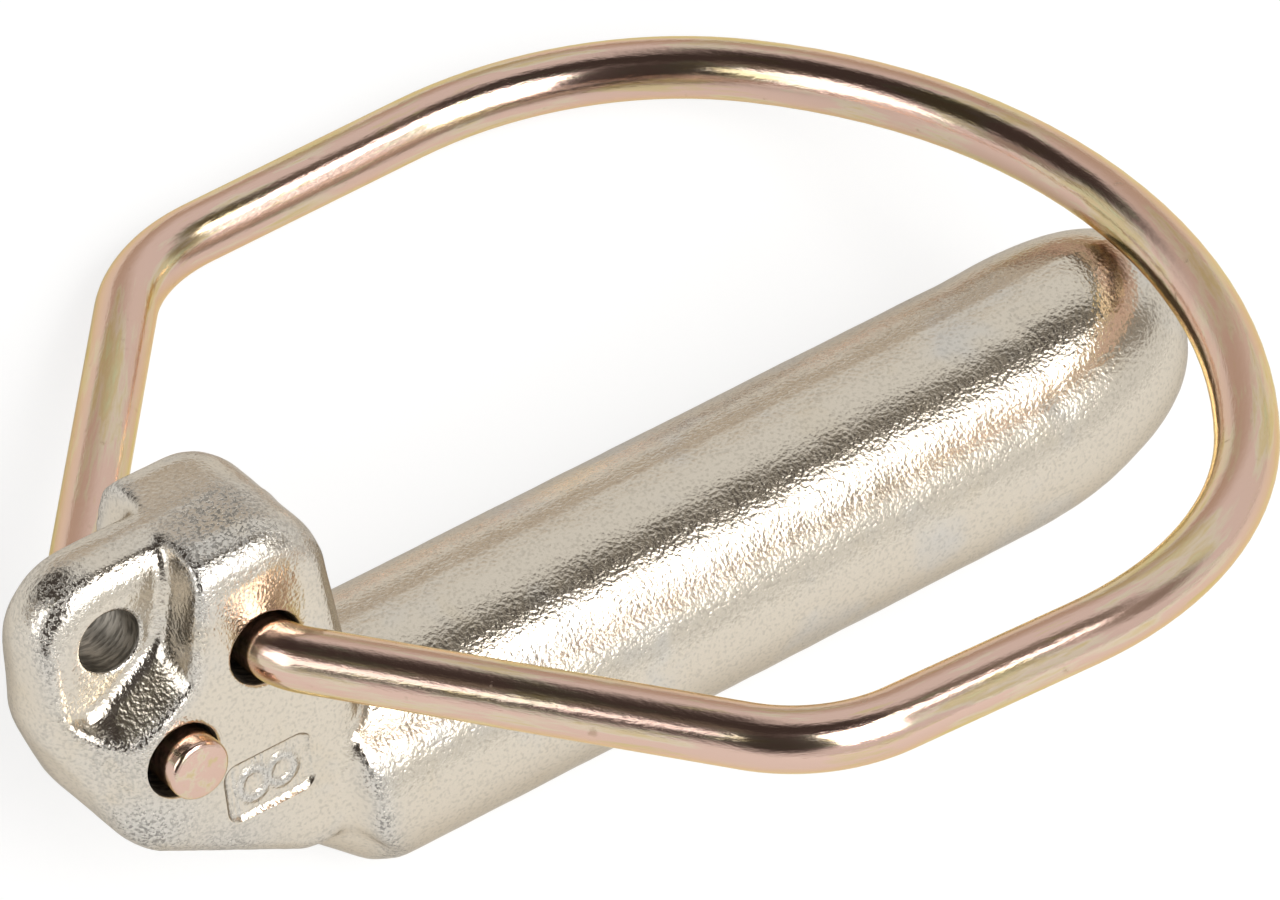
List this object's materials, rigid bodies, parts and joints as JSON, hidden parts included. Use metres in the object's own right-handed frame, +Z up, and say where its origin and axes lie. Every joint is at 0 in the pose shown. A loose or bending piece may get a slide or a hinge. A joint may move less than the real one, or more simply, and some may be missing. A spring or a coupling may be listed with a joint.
{
  "type": "lynch pin",
  "caption": "Forged lynch pin lying on its side, with a drilled flat head, a blunt nose and a spring wire D-ring closed over the nose to keep the pin in its hole.",
  "frame": {"origin": "on the shaft's axis, where the full round of the shaft begins beside the head", "axes": "+X along the shaft toward the nose, +Z up from the ground the pin rests on, +Y level, toward the side of the ring that touches the ground"},
  "size_m": [0.0806, 0.0666, 0.0353],
  "materials": {
    "zinc_forging": "glossy zinc plating over a finely hammered forged surface",
    "yellow_zinc_wire": "smooth yellow-passivated zinc with a faint pink and green sheen"
  },
  "bodies": {
    "pin": {"forged_pin": "zinc_forging"},
    "ring": {"wire_ring": "yellow_zinc_wire"}
  },
  "joints": [
    {"name": "ring_hinge", "type": "hinge", "parent": "pin", "child": "ring", "pos_m": [-0.01035, 0.00482, 0.01071], "axis": [0, -0.9119, 0.4105], "range_deg": [0, 180], "stiffness_Nm_per_rad": 0.3, "springref_deg": -57.3, "deforming": ["wire_ring"]}
  ]
}
